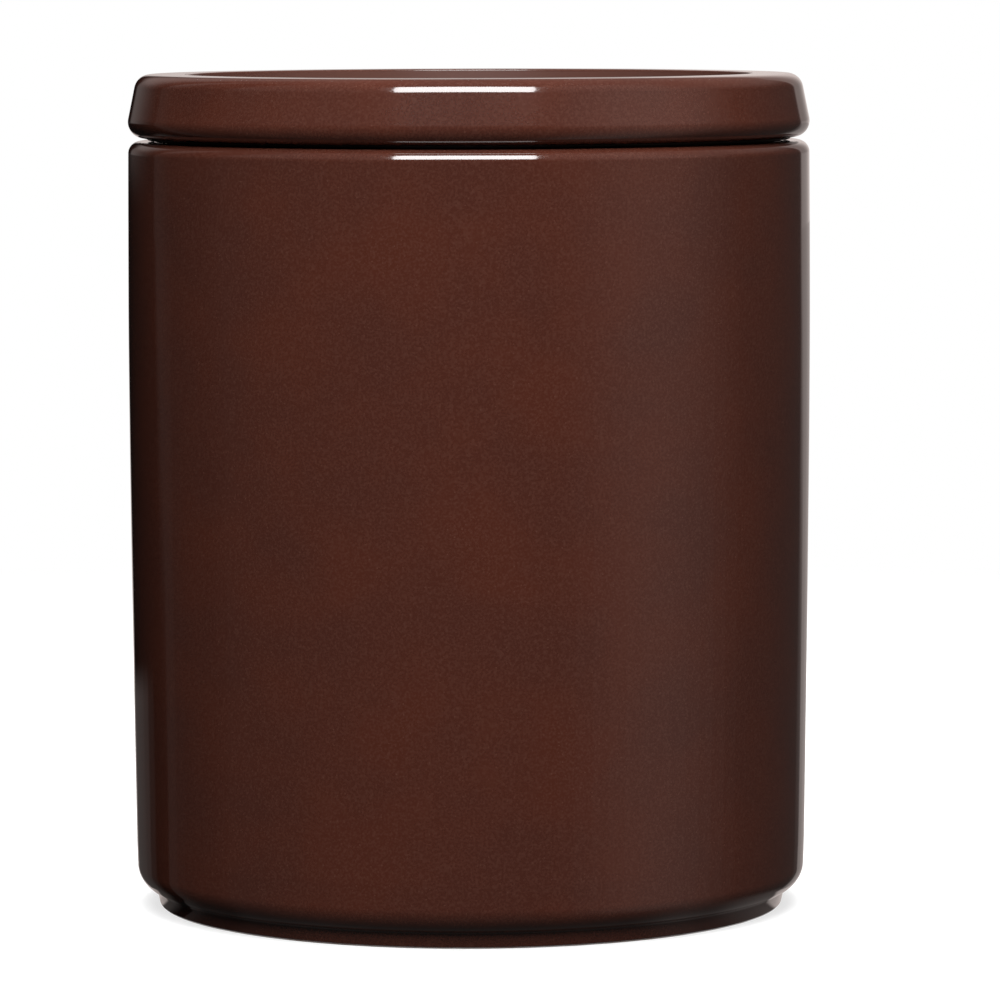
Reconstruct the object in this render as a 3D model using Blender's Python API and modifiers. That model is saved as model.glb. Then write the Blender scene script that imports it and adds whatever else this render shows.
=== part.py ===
"""A round glazed stoneware storage jar with a dished lid and a ring seal, turned from its section profiles.

Units are metres and +Z is up. The origin is the centre of the foot, on the surface that the jar stands on.
Each piece is the section that its plaster mould would have, swept once round the Z axis.
"""

import math

import bpy

# How finely the turned pieces are faceted
TURN_STEPS = 64
ARC_STEP = math.radians(24)
MERGE_DISTANCE = 0.00001
# Largest share of a section's shorter side that the rounding at its corner may take
ROUNDING_SHARE = 0.98

# Jar: outside
JAR_RADIUS = 0.0600
JAR_HEIGHT = 0.1347
WIDEST_HEIGHT = 0.1020
HEEL_DRAW_IN = 0.00097
DRAW_IN_POWER = 1.5
SHOULDER_ROUNDING = 0.0021
HEEL_ROUNDING = 0.0046
OUTER_LEVELS = 5

# Jar: inside
JAR_WALL = 0.0054
JAR_FLOOR = 0.0060
MOUTH_ROUNDING = 0.0010
CORNER_INSIDE = 0.0090
INNER_LEVELS = 3

# Jar: foot ring
FOOT_HEIGHT = 0.0028
FOOT_INSET = 0.00335
FOOT_RING_WIDTH = 0.0046
FOOT_DRAFT = 0.0006
FOOT_COVE = 0.0005
FOOT_ROUNDING = 0.0006
UNDERSIDE_HOLLOW = 0.0022
UNDERSIDE_ROUNDING = 0.0012

# Lid: rim and dish
LID_INSET = 0.00015
LID_HEIGHT = 0.0111
LID_GAP = 0.0006
LID_SIDE_TAPER = math.radians(11.5)
LID_TOP_ROUNDING = 0.0028
LID_LOWER_ROUNDING = 0.0028
RIM_WIDTH = 0.0085
DISH_DEPTH = 0.0058
DISH_DRAFT = 0.0013
DISH_EDGE_ROUNDING = 0.0003
DISH_CORNER = 0.0030
LID_PLATE = 0.0050

# Lid: spigot that reaches into the mouth, with a channel that holds the seal
SPIGOT_DEPTH = 0.01135
SPIGOT_WALL = 0.0044
SPIGOT_DRAFT = 0.0006
SPIGOT_TIP_ROUNDING = 0.0010
SPIGOT_CORNER = 0.0025
SEAL_ROOM = 0.0029
LIP_HEIGHT = 0.0020
LIP_REACH = 0.0010
LIP_RAMP = 0.0005
REBATE_DEPTH = 0.0008
REBATE_MARGIN = 0.0008

# Ring seal
SEAL_CLEARANCE = 0.00025
SLEEVE_WALL = 0.0011
FLANGE_EDGE_MARGIN = 0.00015
FIN_COUNT = 3
FIN_ROOT = 0.0011
FIN_TIP = 0.0005
FIN_LIFT = 0.0004

# Finishes
GLAZE_COLOUR = (0.075, 0.022, 0.013, 1.0)
GLAZE_ROUGHNESS = 0.12
GLAZE_COAT = 1.0
SEAL_COLOUR = (0.012, 0.009, 0.008, 1.0)
SEAL_ROUGHNESS = 0.5
SEAL_COAT = 0.0


def clear_scene():
    """Removes the objects that the file opened with."""
    for old in list(bpy.data.objects):
        bpy.data.objects.remove(old)


def finish(name, colour, roughness, coat):
    """A plain Principled material."""
    made = bpy.data.materials.new(name)
    made.use_nodes = True
    shader = made.node_tree.nodes["Principled BSDF"]
    shader.inputs["Base Color"].default_value = colour
    shader.inputs["Roughness"].default_value = roughness
    shader.inputs["Metallic"].default_value = 0.0
    shader.inputs["Coat Weight"].default_value = coat
    made.diffuse_color = colour
    return made


def unit(start, end):
    """Direction from start to end, and the distance between them."""
    dr, dz = end[0] - start[0], end[1] - start[1]
    length = math.hypot(dr, dz)
    return dr / length, dz / length, length


def arc(centre, radius, first, sweep):
    """Points along an arc, both ends included."""
    count = max(1, math.ceil(abs(sweep) / ARC_STEP))
    angles = [first + sweep * i / count for i in range(count + 1)]
    return [(centre[0] + radius * math.cos(a), centre[1] + radius * math.sin(a)) for a in angles]


def rounded_corner(before, corner, after, radius):
    """Points of the arc that rounds a section's corner, no larger than its two sides allow."""
    ur, uz, reach_in = unit(corner, before)
    vr, vz, reach_out = unit(corner, after)
    half = math.acos(max(-1.0, min(1.0, ur * vr + uz * vz))) / 2
    radius = min(radius, ROUNDING_SHARE * min(reach_in, reach_out) * math.tan(half))
    to_tangent = radius / math.tan(half)
    to_centre = radius / math.sin(half)
    br, bz, _ = unit((0, 0), (ur + vr, uz + vz))
    centre = (corner[0] + br * to_centre, corner[1] + bz * to_centre)
    first = math.atan2(corner[1] + uz * to_tangent - centre[1], corner[0] + ur * to_tangent - centre[0])
    last = math.atan2(corner[1] + vz * to_tangent - centre[1], corner[0] + vr * to_tangent - centre[0])
    sweep = (last - first + math.pi) % (2 * math.pi) - math.pi
    return arc(centre, radius, first, sweep)


def section(corners):
    """Turns (radius, height, rounding) corners into the points of a section."""
    points = []
    for i, (r, z, rounding) in enumerate(corners):
        if rounding and 0 < i < len(corners) - 1:
            points += rounded_corner(corners[i - 1][:2], (r, z), corners[i + 1][:2], rounding)
        else:
            points.append((r, z))
    return points


def turned(name, points, closed, material, parent):
    """A piece swept round Z from its section, whose outer side runs from top to bottom."""
    mesh = bpy.data.meshes.new(name)
    edges = [(i, i + 1) for i in range(len(points) - 1)]
    if closed:
        edges.append((len(points) - 1, 0))
    mesh.from_pydata([(r, 0.0, z) for r, z in points], edges, [])
    mesh.materials.append(material)
    piece = bpy.data.objects.new(name, mesh)
    piece.parent = parent
    sweep = piece.modifiers.new("Turn", "SCREW")
    sweep.axis = "Z"
    sweep.steps = TURN_STEPS
    sweep.render_steps = TURN_STEPS
    sweep.use_merge_vertices = True
    sweep.merge_threshold = MERGE_DISTANCE
    sweep.use_smooth_shade = True
    return piece


def jar_outer_radius(z):
    """The wall swells very slightly towards its widest height and draws in to the heel."""
    away = (WIDEST_HEIGHT - z) / (WIDEST_HEIGHT - FOOT_HEIGHT)
    return JAR_RADIUS - HEEL_DRAW_IN * abs(away) ** DRAW_IN_POWER


def jar_inner_radius(z):
    """The inside follows the outside at the wall's thickness."""
    return jar_outer_radius(z) - JAR_WALL


def mouth_radius():
    """The tightest place that the lid's spigot and seal pass through."""
    return min(jar_inner_radius(JAR_HEIGHT), jar_inner_radius(JAR_HEIGHT - SPIGOT_DEPTH))


def levels(low, high, count):
    """Heights strictly between low and high, evenly spaced, lowest first."""
    return [low + (high - low) * (i + 1) / (count + 1) for i in range(count)]


def heel_arc():
    """The heel's rounding, from the wall down to where it meets the top of the foot ring."""
    wall = jar_outer_radius(FOOT_HEIGHT)
    turn = math.acos(max(0.0, 1 - FOOT_INSET / HEEL_ROUNDING))
    centre = (wall - HEEL_ROUNDING, FOOT_HEIGHT + HEEL_ROUNDING * math.sin(turn))
    return arc(centre, HEEL_ROUNDING, 0.0, -turn)


def jar_section():
    """Inner floor, inner wall, rim, outer wall, heel and foot ring, in that order."""
    floor = UNDERSIDE_HOLLOW + JAR_FLOOR
    heel = heel_arc()
    foot_top = jar_outer_radius(FOOT_HEIGHT) - FOOT_INSET
    foot_base = foot_top - FOOT_DRAFT
    ring_inside = foot_base - FOOT_RING_WIDTH
    inside = levels(floor + CORNER_INSIDE, JAR_HEIGHT - MOUTH_ROUNDING, INNER_LEVELS)
    outside = levels(heel[0][1], JAR_HEIGHT - SHOULDER_ROUNDING, OUTER_LEVELS)
    corners = [(0.0, floor, 0), (jar_inner_radius(floor), floor, CORNER_INSIDE)]
    corners += [(jar_inner_radius(z), z, 0) for z in inside]
    corners += [
        (jar_inner_radius(JAR_HEIGHT), JAR_HEIGHT, MOUTH_ROUNDING),
        (jar_outer_radius(JAR_HEIGHT), JAR_HEIGHT, SHOULDER_ROUNDING),
    ]
    corners += [(jar_outer_radius(z), z, 0) for z in reversed(outside)]
    corners += [(r, z, 0) for r, z in heel[:-1]]
    corners += [
        (foot_top, FOOT_HEIGHT, FOOT_COVE),
        (foot_base, 0.0, FOOT_ROUNDING),
        (ring_inside, 0.0, FOOT_ROUNDING),
        (ring_inside - UNDERSIDE_HOLLOW, UNDERSIDE_HOLLOW, UNDERSIDE_ROUNDING),
        (0.0, UNDERSIDE_HOLLOW, 0),
    ]
    return section(corners)


def rebate_radius():
    """Outer edge of the shallow step under the lid that the seal's flange nests in."""
    return jar_outer_radius(JAR_HEIGHT) - SHOULDER_ROUNDING - REBATE_MARGIN


def lid_section():
    """Dish, rim, tapered side, underside, spigot and underside panel; height 0 is the lid's underside."""
    widest = JAR_RADIUS - LID_INSET
    opening = math.pi / 2 - LID_SIDE_TAPER
    lower_corner = widest - LID_LOWER_ROUNDING + LID_LOWER_ROUNDING / math.tan(opening / 2)
    upper_corner = lower_corner - LID_HEIGHT * math.tan(LID_SIDE_TAPER)
    dish_edge = upper_corner - RIM_WIDTH
    dish_floor = LID_HEIGHT - DISH_DEPTH
    panel = dish_floor - LID_PLATE
    channel = mouth_radius() - SEAL_ROOM
    channel_end = LIP_HEIGHT + LIP_RAMP - SPIGOT_DEPTH
    spigot_inside = channel - SPIGOT_WALL
    corners = [
        (0.0, dish_floor, 0),
        (dish_edge - DISH_DRAFT, dish_floor, DISH_CORNER),
        (dish_edge, LID_HEIGHT, DISH_EDGE_ROUNDING),
        (upper_corner, LID_HEIGHT, LID_TOP_ROUNDING),
        (lower_corner, 0.0, LID_LOWER_ROUNDING),
        (rebate_radius(), 0.0, 0),
        (rebate_radius(), REBATE_DEPTH, 0),
        (channel, REBATE_DEPTH, 0),
        (channel, channel_end, 0),
        (channel + LIP_REACH, channel_end - LIP_RAMP, 0),
        (channel + LIP_REACH, -SPIGOT_DEPTH, SPIGOT_TIP_ROUNDING),
        (spigot_inside, -SPIGOT_DEPTH, SPIGOT_TIP_ROUNDING),
        (spigot_inside - SPIGOT_DRAFT, panel, SPIGOT_CORNER),
        (0.0, panel, 0),
    ]
    return section(corners)


def seal_section():
    """Flange between lid and rim, sleeve round the spigot, and fins that wipe the mouth, as one closed loop."""
    channel = mouth_radius() - SEAL_ROOM
    sleeve_inside = channel + SEAL_CLEARANCE
    sleeve_outside = sleeve_inside + SLEEVE_WALL
    fin_reach = mouth_radius() - SEAL_CLEARANCE
    flange_reach = rebate_radius() - SEAL_CLEARANCE - FLANGE_EDGE_MARGIN
    flange_top = REBATE_DEPTH - SEAL_CLEARANCE
    flange_base = SEAL_CLEARANCE - LID_GAP
    sleeve_base = LIP_HEIGHT + LIP_RAMP - SPIGOT_DEPTH + SEAL_CLEARANCE
    points = [
        (sleeve_inside, flange_top),
        (flange_reach, flange_top),
        (flange_reach, flange_base),
        (sleeve_outside, flange_base),
    ]
    pitch = (flange_base - sleeve_base) / FIN_COUNT
    for i in range(FIN_COUNT):
        root = flange_base - pitch * (i + 0.5)
        tip = root + FIN_LIFT
        points += [
            (sleeve_outside, root + FIN_ROOT / 2),
            (fin_reach, tip + FIN_TIP / 2),
            (fin_reach, tip - FIN_TIP / 2),
            (sleeve_outside, root - FIN_ROOT / 2),
        ]
    points += [(sleeve_outside, sleeve_base), (sleeve_inside, sleeve_base)]
    return points


def build():
    """Makes the jar, and the lid with its seal on the axis that the lid lifts along."""
    clear_scene()
    made = bpy.data.collections.new("storage_jar")
    bpy.context.scene.collection.children.link(made)
    glaze = finish("Brown glazed stoneware", GLAZE_COLOUR, GLAZE_ROUGHNESS, GLAZE_COAT)
    silicone = finish("Dark silicone", SEAL_COLOUR, SEAL_ROUGHNESS, SEAL_COAT)
    lid_seat = bpy.data.objects.new("lid_seat", None)
    lid_seat.empty_display_size = JAR_RADIUS
    lid_seat.location = (0.0, 0.0, JAR_HEIGHT + LID_GAP)
    pieces = [
        lid_seat,
        turned("jar_body", jar_section(), False, glaze, None),
        turned("lid", lid_section(), False, glaze, lid_seat),
        turned("sealing_ring", seal_section(), True, silicone, lid_seat),
    ]
    for piece in pieces:
        made.objects.link(piece)


build()
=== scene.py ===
"""Looks of a round storage jar in brown glazed stoneware: jar, dished lid and finned ring seal.

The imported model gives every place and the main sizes. The fine surfaces, finishes and studio are made here.
Units are metres and +Z is up. Azimuths are degrees round Z, 0 towards the camera and growing to its right.
"""

from __future__ import annotations

import logging
import math
from abc import ABC, abstractmethod
from collections.abc import Callable
from dataclasses import dataclass
from enum import Enum
from typing import Any

import bmesh
import bpy
from bpy.types import Material, Mesh, Node, NodeSocket, NodeTree, Object
from mathutils import Matrix, Vector

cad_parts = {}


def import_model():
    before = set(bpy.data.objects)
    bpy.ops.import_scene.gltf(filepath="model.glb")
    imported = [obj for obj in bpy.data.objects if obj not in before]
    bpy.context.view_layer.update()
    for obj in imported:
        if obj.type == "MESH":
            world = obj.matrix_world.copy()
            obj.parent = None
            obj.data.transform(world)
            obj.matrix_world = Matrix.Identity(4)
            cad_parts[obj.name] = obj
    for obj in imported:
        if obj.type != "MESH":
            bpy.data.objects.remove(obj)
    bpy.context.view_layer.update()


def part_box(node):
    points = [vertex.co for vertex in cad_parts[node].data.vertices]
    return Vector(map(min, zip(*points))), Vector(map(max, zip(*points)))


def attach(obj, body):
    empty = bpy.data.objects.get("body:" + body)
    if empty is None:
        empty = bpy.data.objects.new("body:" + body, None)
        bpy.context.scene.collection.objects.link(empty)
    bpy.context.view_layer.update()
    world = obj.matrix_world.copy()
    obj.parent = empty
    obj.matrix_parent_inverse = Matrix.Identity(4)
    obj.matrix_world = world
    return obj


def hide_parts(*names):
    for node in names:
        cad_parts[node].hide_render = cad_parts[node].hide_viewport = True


MM = 0.001
LOG = logging.getLogger("storage_jar")

# A rounding large enough to carry a reflection is drawn in fine steps. Steps and angles are in degrees.
FINE_ROUNDING = 0.9 * MM
FINE_STEP = 4.0
COARSE_STEP = 12.0
SHARP_ANGLE = 40.0
WELD_DISTANCE = 0.001 * MM

Point = tuple[float, float]
Colour = tuple[float, float, float, float]


def linear(hex_colour: str) -> Colour:
    """Turns an sRGB hex colour into the linear values that shaders take.

    Args:
        hex_colour: Six hex digits after a hash sign.

    Returns:
        Linear red, green and blue, and full opacity.
    """
    values = []
    for start in (1, 3, 5):
        level = int(hex_colour[start:start + 2], 16) / 255
        values.append(level / 12.92 if level <= 0.04045 else ((level + 0.055) / 1.055) ** 2.4)
    return values[0], values[1], values[2], 1.0


def grey(level: float) -> Colour:
    """Returns a neutral linear colour of one level."""
    return level, level, level, 1.0


def add_object(name: str, data: Any) -> Object:
    """Adds an object to the scene.

    Args:
        name: The object's name.
        data: The mesh, lamp or camera that it holds.

    Returns:
        The new object.
    """
    made = bpy.data.objects.new(name, data)
    bpy.context.scene.collection.objects.link(made)
    return made


def direction(start: Point, end: Point) -> tuple[float, float, float]:
    """Finds the straight way from one point to another.

    Args:
        start: The first point.
        end: The second point.

    Returns:
        The two parts of the unit direction, and the distance.
    """
    dr, dz = end[0] - start[0], end[1] - start[1]
    length = math.hypot(dr, dz)
    return dr / length, dz / length, length


def arc(centre: Point, radius: float, first: float, sweep: float) -> list[Point]:
    """Draws an arc, finer where it is large enough to carry a reflection.

    Args:
        centre: The arc's centre.
        radius: Its radius.
        first: Angle of the first point, in radians.
        sweep: Signed angle to the last point.

    Returns:
        The points, both ends included.
    """
    step = math.radians(FINE_STEP if radius >= FINE_ROUNDING else COARSE_STEP)
    count = max(1, math.ceil(abs(sweep) / step))
    angles = [first + sweep * i / count for i in range(count + 1)]
    return [(centre[0] + radius * math.cos(a), centre[1] + radius * math.sin(a)) for a in angles]


@dataclass(frozen=True)
class Corner:
    """A corner of a turned section, with the rounding that mould and sponge leave on it."""

    radius: float
    height: float
    rounding: float = 0.0

    @property
    def point(self) -> Point:
        """The corner's place in the section."""
        return self.radius, self.height


class Section:
    """The outline of a turned piece, as radius and height, which runs down the piece's outer side."""

    edge_support = 0.12 * MM
    longest_run = 4.0 * MM
    rounding_share = 0.98

    def __init__(self, closed: bool = False) -> None:
        """Starts an empty outline, which is a loop if closed and otherwise ends on the axis."""
        self.closed = closed
        self.corners: list[Corner] = []

    def add(self, radius: float, height: float, rounding: float = 0.0) -> None:
        """Adds one corner."""
        self.corners.append(Corner(radius, height, rounding))

    def rounded(self, before: Corner, corner: Corner, after: Corner) -> list[Point]:
        """Makes the arc at one corner, no larger than its two sides allow.

        Args:
            before: The corner before it.
            corner: The corner to round.
            after: The corner after it.

        Returns:
            The arc's points.
        """
        back_r, back_z, side_back = direction(corner.point, before.point)
        on_r, on_z, side_on = direction(corner.point, after.point)
        half = math.acos(max(-1.0, min(1.0, back_r * on_r + back_z * on_z))) / 2
        radius = min(corner.rounding, self.rounding_share * min(side_back, side_on) * math.tan(half))
        reach = radius / math.tan(half)
        middle_r, middle_z, _ = direction((0.0, 0.0), (back_r + on_r, back_z + on_z))
        sine = math.sin(half)
        centre = (corner.radius + middle_r * radius / sine, corner.height + middle_z * radius / sine)
        start = (corner.radius + back_r * reach - centre[0], corner.height + back_z * reach - centre[1])
        end = (corner.radius + on_r * reach - centre[0], corner.height + on_z * reach - centre[1])
        first = math.atan2(start[1], start[0])
        sweep = (math.atan2(end[1], end[0]) - first + math.pi) % (2 * math.pi) - math.pi
        return arc(centre, radius, first, sweep)

    def along(self, start: Point, end: Point) -> list[Point]:
        """Divides a straight run: a point close to each end, which keeps it flat, and rings between them.

        Args:
            start: Where the run starts.
            end: Where it ends.

        Returns:
            The points between the two.
        """
        dr, dz, length = direction(start, end)
        if length < 3 * self.edge_support:
            return []
        inner = length - 2 * self.edge_support
        count = max(1, math.ceil(inner / self.longest_run))
        places = [self.edge_support + inner * i / count for i in range(count + 1)]
        return [(start[0] + dr * d, start[1] + dz * d) for d in places]

    def outline(self) -> list[Point]:
        """Draws the whole section, with its arcs and the rings along its straight runs.

        Returns:
            The points in order.
        """
        last = len(self.corners) - 1
        points: list[Point] = []
        for i, corner in enumerate(self.corners):
            inside = self.closed or 0 < i < last
            if corner.rounding and inside:
                stretch = self.rounded(self.corners[i - 1], corner, self.corners[(i + 1) % (last + 1)])
            else:
                stretch = [corner.point]
            if points:
                points += self.along(points[-1], stretch[0])
            points += stretch
        if self.closed:
            points += self.along(points[-1], points[0])
        return points


class Graph:
    """A node tree under construction."""

    def __init__(self, tree: NodeTree) -> None:
        """Takes over a tree and empties it."""
        self.tree = tree
        tree.nodes.clear()

    def add(self, kind: str, *values: Any, **settings: Any) -> Node:
        """Adds one node with its settings, and fills or links its inputs.

        Args:
            kind: The node's type name.
            *values: What the inputs in use take, in their order, or a dict of it by their names. Each is a
                plain value, an output socket, a node whose first output is meant, or a list of such sources.
            **settings: The node's own options.

        Returns:
            The new node.
        """
        node = self.tree.nodes.new(kind)
        for name, value in settings.items():
            setattr(node, name, value)
        inputs = [socket for socket in node.inputs if socket.enabled]
        keyed = values[0] if values and isinstance(values[0], dict) else dict(enumerate(values))
        for key, value in keyed.items():
            if isinstance(key, str):
                socket = next(given for given in inputs if key in (given.name, given.identifier))
            else:
                socket = inputs[key]
            for source in value if isinstance(value, list) else [value]:
                if isinstance(source, Node):
                    source = next(output for output in source.outputs if output.enabled)
                if isinstance(source, NodeSocket):
                    self.tree.links.new(source, socket)
                else:
                    socket.default_value = source
        return node


class TurningTree(Graph):
    """A geometry tree under construction that turns sections round Z, with named inputs for its sizes."""

    kinds = {int: "NodeSocketInt", float: "NodeSocketFloat", Material: "NodeSocketMaterial"}

    def __init__(self, name: str, **sizes: type) -> None:
        """Starts a tree that takes a section's points, Turn_Steps, Finish and further sizes.

        Args:
            name: The tree's name.
            **sizes: Each further input's name and the type of its value.
        """
        super().__init__(bpy.data.node_groups.new(name, "GeometryNodeTree"))
        for in_out in ("INPUT", "OUTPUT"):
            self.tree.interface.new_socket("Geometry", in_out=in_out, socket_type="NodeSocketGeometry")
        for key, kind in {"Turn_Steps": int, "Finish": Material, **sizes}.items():
            self.tree.interface.new_socket(key, in_out="INPUT", socket_type=self.kinds[kind])
        self.given = self.add("NodeGroupInput").outputs

    def turned(self, outline: Node | NodeSocket, loop: bool = False) -> Node:
        """Sweeps an outline once round Z as a grid whose rows are its points.

        Args:
            outline: The outline's points, in the XZ plane, which run down the piece's outer side.
            loop: Whether the outline's last point joins its first.

        Returns:
            The swept mesh, closed at its seam and at its poles or loop, with its faces pointing out.
        """
        steps = self.given["Turn_Steps"]
        points = self.add("GeometryNodeAttributeDomainSize", outline).outputs["Point Count"]
        rows = self.add("FunctionNodeIntegerMath", points, int(loop), operation="ADD")
        columns = self.add("FunctionNodeIntegerMath", steps, 1, operation="ADD")
        grid = self.add("GeometryNodeMeshGrid", {"Vertices X": columns, "Vertices Y": rows})
        index = self.add("GeometryNodeInputIndex")
        row = self.add("FunctionNodeIntegerMath", index, rows, operation="MODULO")
        ring = self.add("FunctionNodeIntegerMath", row, points, operation="MODULO")
        column = self.add("FunctionNodeIntegerMath", index, rows, operation="DIVIDE_FLOOR")
        sample = {"Geometry": outline, "Value": self.add("GeometryNodeInputPosition"), "Index": ring}
        sampled = self.add("GeometryNodeSampleIndex", sample, data_type="FLOAT_VECTOR")
        apart = self.add("ShaderNodeSeparateXYZ", sampled).outputs
        share = self.add("ShaderNodeMath", column, steps, operation="DIVIDE")
        angle = self.add("ShaderNodeMath", share, 2 * math.pi, operation="MULTIPLY")
        cosine = self.add("ShaderNodeMath", angle, operation="COSINE")
        sine = self.add("ShaderNodeMath", angle, operation="SINE")
        x = self.add("ShaderNodeMath", apart["X"], cosine, operation="MULTIPLY")
        y = self.add("ShaderNodeMath", apart["X"], sine, operation="MULTIPLY")
        swept = self.add("ShaderNodeCombineXYZ", x, y, apart["Z"])
        moved = self.add("GeometryNodeSetPosition", {"Geometry": grid, "Position": swept})
        merged = self.add("GeometryNodeMergeByDistance", {"Geometry": moved, "Distance": WELD_DISTANCE})
        return self.add("GeometryNodeFlipFaces", merged)

    def end(self, geometry: Node) -> NodeTree:
        """Smooths the shading, makes instances real, sets the finish and closes the tree.

        Args:
            geometry: What the tree has made.

        Returns:
            The finished tree.
        """
        smooth = self.add("GeometryNodeSetShadeSmooth", geometry)
        real = self.add("GeometryNodeRealizeInstances", smooth)
        dressed = self.add("GeometryNodeSetMaterial", {"Geometry": real, "Material": self.given["Finish"]})
        self.add("NodeGroupOutput", dressed)
        return self.tree


def turned_glaze_tree() -> NodeTree:
    """Builds the tree that turns a glazed piece, with the slight unevenness of poured glaze.

    Returns:
        The tree, whose inputs are Turn_Steps, Finish, Ripple_Depth, Ripple_Width and Seed.
    """
    made = TurningTree("turned_glaze", Ripple_Depth=float, Ripple_Width=float, Seed=float)
    given = made.given
    swept = made.turned(given["Geometry"])
    place = made.add("GeometryNodeInputPosition")
    scale = made.add("ShaderNodeMath", 1.0, given["Ripple_Width"], operation="DIVIDE")
    waves = {"Vector": place, "W": given["Seed"], "Scale": scale, "Detail": 1.0}
    noise = made.add("ShaderNodeTexNoise", waves, noise_dimensions="4D")
    # Noise runs from 0 to 1 about a half, and the swing from 1 to -1 about 0.
    off = made.add("ShaderNodeMath", 0.5, noise, operation="SUBTRACT")
    swing = made.add("ShaderNodeMath", off, 2.0, operation="MULTIPLY")
    height = made.add("ShaderNodeMath", swing, given["Ripple_Depth"], operation="MULTIPLY")
    offset = made.add("ShaderNodeVectorMath", made.add("GeometryNodeInputNormal"), height, operation="SCALE")
    return made.end(made.add("GeometryNodeSetPosition", {"Geometry": swept, "Offset": offset}))


def finned_seal_tree() -> NodeTree:
    """Builds the tree that turns the seal's sleeve, with equal fins repeated down it and fused to it.

    Returns:
        The tree, whose inputs are Turn_Steps, Finish and the fins' count, places and sizes.
    """
    made = TurningTree(
        "finned_seal", Fin_Count=int, Fin_Pitch=float, First_Fin=float, Fin_Inside=float, Fin_Reach=float,
        Fin_Root=float, Fin_Tip=float, Fin_Lift=float, Fin_Rounding=float, Rounding_Steps=int,
    )
    given = made.given
    sleeve = made.turned(given["Geometry"], loop=True)
    half_root = made.add("ShaderNodeMath", given["Fin_Root"], 2.0, operation="DIVIDE")
    half_tip = made.add("ShaderNodeMath", given["Fin_Tip"], 2.0, operation="DIVIDE")
    corners = (
        (given["Fin_Inside"], half_root),
        (given["Fin_Reach"], made.add("ShaderNodeMath", given["Fin_Lift"], half_tip, operation="ADD")),
        (given["Fin_Reach"], made.add("ShaderNodeMath", given["Fin_Lift"], half_tip, operation="SUBTRACT")),
        (given["Fin_Inside"], made.add("ShaderNodeMath", half_root, -1.0, operation="MULTIPLY")),
    )
    points = {
        f"Point {i + 1}": made.add("ShaderNodeCombineXYZ", radius, height)
        for i, (radius, height) in enumerate(corners)
    }
    flat = made.add("GeometryNodeCurvePrimitiveQuadrilateral", points, mode="POINTS")
    steps, radius = given["Rounding_Steps"], given["Fin_Rounding"]
    rounding = {"Curve": flat, "Count": steps, "Radius": radius, "Limit Radius": True}
    soft = made.add("GeometryNodeFilletCurve", rounding, mode="POLY")
    upright = made.add("GeometryNodeTransform", {"Geometry": soft, "Rotation": (math.pi / 2, 0.0, 0.0)})
    ring = made.turned(made.add("GeometryNodeCurveToMesh", upright), loop=True)
    down = made.add("ShaderNodeMath", given["Fin_Pitch"], -1.0, operation="MULTIPLY")
    start = made.add("ShaderNodeCombineXYZ", {"Z": given["First_Fin"]})
    step = made.add("ShaderNodeCombineXYZ", {"Z": down})
    line = {"Count": given["Fin_Count"], "Start Location": start, "Offset": step}
    seats = made.add("GeometryNodeMeshLine", line)
    fins = made.add("GeometryNodeInstanceOnPoints", {"Points": seats, "Instance": ring})
    real = made.add("GeometryNodeRealizeInstances", fins)
    fused = made.add("GeometryNodeMeshBoolean", {"Mesh 2": [sleeve, real]}, operation="UNION", solver="EXACT")
    return made.end(made.add("GeometryNodeMergeByDistance", {"Geometry": fused, "Distance": WELD_DISTANCE}))


def grown(name: str, outline: list[Point], tree: NodeTree, sizes: dict[str, Any]) -> Object:
    """Runs a geometry tree on a section's points and keeps the result as a plain mesh.

    Args:
        name: Name of the finished piece.
        outline: The section's points.
        tree: The tree to run.
        sizes: The tree's inputs by name.

    Returns:
        The finished object, at the origin.
    """
    draft_mesh = bpy.data.meshes.new(f"{name}_section")
    draft_mesh.from_pydata([(radius, 0.0, height) for radius, height in outline], [], [])
    draft = add_object(f"{name}_section", draft_mesh)
    modifier = draft.modifiers.new("Make", "NODES")
    modifier.node_group = tree
    for item in tree.interface.items_tree:
        if item.in_out == "INPUT" and item.name in sizes:
            modifier[item.identifier] = sizes[item.name]
    evaluated = draft.evaluated_get(bpy.context.evaluated_depsgraph_get())
    mesh = bpy.data.meshes.new_from_object(evaluated)
    bpy.data.objects.remove(draft)
    bpy.data.meshes.remove(draft_mesh)
    mesh.name = name
    mesh.set_sharp_from_angle(angle=math.radians(SHARP_ANGLE))
    LOG.info("%s: %d section points, %d faces", name, len(outline), len(mesh.polygons))
    return add_object(name, mesh)


def node_material(name: str, surface: Callable[[Graph], Node]) -> Material:
    """Makes a node material.

    Args:
        name: The material's name.
        surface: What builds its shader in the tree that it is given.

    Returns:
        The material.
    """
    made = bpy.data.materials.new(name)
    made.use_nodes = True
    graph = Graph(made.node_tree)
    graph.add("ShaderNodeOutputMaterial", surface(graph))
    return made


@dataclass(frozen=True, kw_only=True)
class Finish(ABC):
    """What a piece is made of, and how its surface was made."""

    name: str
    colour: str
    ior: float

    @abstractmethod
    def surface(self, graph: Graph) -> Node:
        """Builds the finish's shader on Object coordinates."""

    def material(self) -> Material:
        """Makes the finish as a node material, with its main colour in the viewport.

        Returns:
            The material.
        """
        made = node_material(self.name, self.surface)
        made.diffuse_color = linear(self.colour)
        return made


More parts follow.
